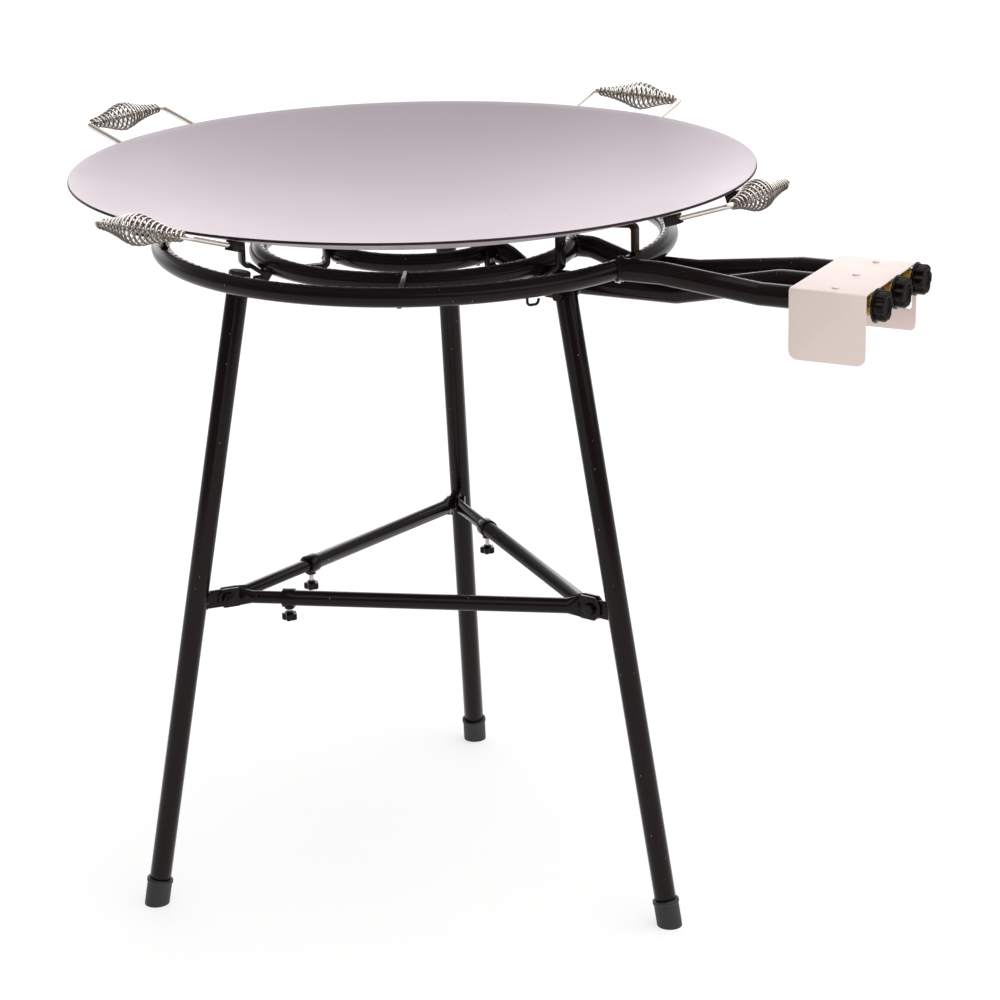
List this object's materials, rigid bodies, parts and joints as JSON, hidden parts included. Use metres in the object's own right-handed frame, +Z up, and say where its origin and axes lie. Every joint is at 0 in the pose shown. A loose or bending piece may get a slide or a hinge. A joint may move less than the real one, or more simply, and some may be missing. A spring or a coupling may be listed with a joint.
{
  "type": "gas griddle on a tripod",
  "caption": "Ring-burner gas griddle: a shallow steel dish with coil-grip handles over black burner rings fed by valved pipes, on a folding tripod with telescoping braces.",
  "frame": {"origin": "on the floor under the centre of the burner rings", "axes": "+Z up, +X along the feed pipes towards the knobs, +Y towards the gas inlet side"},
  "size_m": [1.0516, 0.9118, 0.8824],
  "materials": {
    "griddle_steel": "satin",
    "black_enamel": "gloss",
    "chrome": "polished",
    "white_paint": "satin",
    "brass": "machined",
    "black_gloss": "gloss",
    "rubber": "matt",
    "zinc": "zinc plated"
  },
  "bodies": {
    "burner": {"outer_ring": "black_enamel", "middle_ring": "black_enamel", "inner_ring": "black_enamel", "outer_feed_pipe": "black_enamel", "middle_feed_pipe": "black_enamel", "inner_feed_pipe": "black_enamel", "ring_spokes": "black_enamel", "ring_ties": "black_enamel", "pan_brackets": "black_enamel", "ring_hook": "black_enamel", "leg_lugs": "black_enamel", "leg_bolts": "zinc", "leg_nuts": "zinc", "gas_manifold": "brass", "air_mixers": "black_enamel", "gas_jets": "brass", "gland_nuts": "brass", "valve_cover": "white_paint", "cover_screws": "white_paint"},
    "griddle": {"griddle_plate": "griddle_steel", "handle_sockets": "black_enamel", "spring_grips": "chrome", "handle_bail_1": "chrome", "handle_bail_2": "chrome", "handle_bail_3": "chrome", "handle_bail_4": "chrome"},
    "knob_1": {"knob_1": "black_gloss", "valve_stem_1": "brass"},
    "knob_2": {"knob_2": "black_gloss", "valve_stem_2": "brass"},
    "knob_3": {"knob_3": "black_gloss", "valve_stem_3": "brass"},
    "leg_1": {"leg_1": "black_enamel", "leg_plug_1": "rubber", "foot_cap_1": "rubber", "brace_tab_1": "black_enamel", "tab_bolt_1": "black_enamel"},
    "leg_2": {"leg_2": "black_enamel", "leg_plug_2": "rubber", "foot_cap_2": "rubber", "brace_tab_2": "black_enamel", "tab_bolt_2": "black_enamel"},
    "leg_3": {"leg_3": "black_enamel", "leg_plug_3": "rubber", "foot_cap_3": "rubber", "brace_tab_3": "black_enamel", "tab_bolt_3": "black_enamel"},
    "brace_outer_1": {"brace_outer_1": "black_enamel"},
    "brace_inner_1": {"brace_inner_1": "black_enamel"},
    "brace_screw_1": {"brace_screw_1": "black_gloss"},
    "brace_outer_2": {"brace_outer_2": "black_enamel"},
    "brace_inner_2": {"brace_inner_2": "black_enamel"},
    "brace_screw_2": {"brace_screw_2": "black_gloss"},
    "brace_outer_3": {"brace_outer_3": "black_enamel"},
    "brace_inner_3": {"brace_inner_3": "black_enamel"},
    "brace_screw_3": {"brace_screw_3": "black_gloss"}
  },
  "joints": [
    {"name": "griddle_lift", "type": "slide", "parent": "burner", "child": "griddle", "axis": [0, 0, 1], "range_m": [0, 0.15]},
    {"name": "knob_1_turn", "type": "hinge", "parent": "burner", "child": "knob_1", "pos_m": [0.5775, -0.062, 0.758], "axis": [1, 0, 0], "range_deg": [0, 270]},
    {"name": "knob_2_turn", "type": "hinge", "parent": "burner", "child": "knob_2", "pos_m": [0.5775, 0, 0.758], "axis": [1, 0, 0], "range_deg": [0, 270]},
    {"name": "knob_3_turn", "type": "hinge", "parent": "burner", "child": "knob_3", "pos_m": [0.5775, 0.062, 0.758], "axis": [1, 0, 0], "range_deg": [0, 270]},
    {"name": "leg_1_fold", "type": "hinge", "parent": "burner", "child": "leg_1", "pos_m": [0.20958, -0.04074, 0.732], "axis": [0.1908, 0.9816, 0], "range_deg": [0, 3]},
    {"name": "leg_2_fold", "type": "hinge", "parent": "burner", "child": "leg_2", "pos_m": [-0.14007, -0.16113, 0.732], "axis": [0.7547, -0.6561, 0], "range_deg": [0, 3]},
    {"name": "leg_3_fold", "type": "hinge", "parent": "burner", "child": "leg_3", "pos_m": [-0.06951, 0.20187, 0.732], "axis": [-0.9455, -0.3256, 0], "range_deg": [0, 3]},
    {"name": "brace_1_pivot", "type": "hinge", "parent": "leg_1", "child": "brace_outer_1", "pos_m": [0.24127, -0.0469, 0.368], "axis": [0.1908, 0.9816, 0], "range_deg": [-3, 0]},
    {"name": "brace_1_slide", "type": "slide", "parent": "brace_outer_1", "child": "brace_inner_1", "axis": [-0.9455, -0.3256, 0], "range_m": [-0.03307, 0]},
    {"name": "brace_1_screw", "type": "hinge", "parent": "brace_outer_1", "child": "brace_screw_1", "pos_m": [-0.09341, -0.15821, 0.348], "axis": [0, 0, 1], "range_deg": [0, 360]},
    {"name": "brace_2_pivot", "type": "hinge", "parent": "leg_3", "child": "brace_outer_2", "pos_m": [-0.08002, 0.23239, 0.368], "axis": [-0.9455, -0.3256, 0], "range_deg": [-3, 0]},
    {"name": "brace_2_slide", "type": "slide", "parent": "brace_outer_2", "child": "brace_inner_2", "axis": [-0.1908, -0.9816, 0], "range_m": [-0.03307, 0]},
    {"name": "brace_2_screw", "type": "hinge", "parent": "brace_outer_2", "child": "brace_screw_2", "pos_m": [-0.13032, -0.04581, 0.348], "axis": [0, 0, 1], "range_deg": [0, 360]},
    {"name": "brace_3_pivot", "type": "hinge", "parent": "leg_1", "child": "brace_outer_3", "pos_m": [0.24127, -0.0469, 0.368], "axis": [0.1908, 0.9816, 0], "range_deg": [-3, 0]},
    {"name": "brace_3_slide", "type": "slide", "parent": "brace_outer_3", "child": "brace_inner_3", "axis": [-0.7547, 0.6561, 0], "range_m": [-0.03307, 0]},
    {"name": "brace_3_screw", "type": "hinge", "parent": "brace_outer_3", "child": "brace_screw_3", "pos_m": [0.00285, 0.15544, 0.348], "axis": [0, 0, 1], "range_deg": [0, 360]}
  ],
  "couplings": [
    {"joint": "leg_2_fold", "follows": "leg_1_fold", "ratio": 1},
    {"joint": "leg_3_fold", "follows": "leg_1_fold", "ratio": 1},
    {"joint": "brace_1_pivot", "follows": "leg_1_fold", "ratio": -1},
    {"joint": "brace_1_slide", "follows": "leg_1_fold", "m_per_rad": -0.63164},
    {"joint": "brace_2_pivot", "follows": "leg_1_fold", "ratio": -1},
    {"joint": "brace_2_slide", "follows": "leg_1_fold", "m_per_rad": -0.63164},
    {"joint": "brace_3_pivot", "follows": "leg_1_fold", "ratio": -1},
    {"joint": "brace_3_slide", "follows": "leg_1_fold", "m_per_rad": -0.63164}
  ]
}
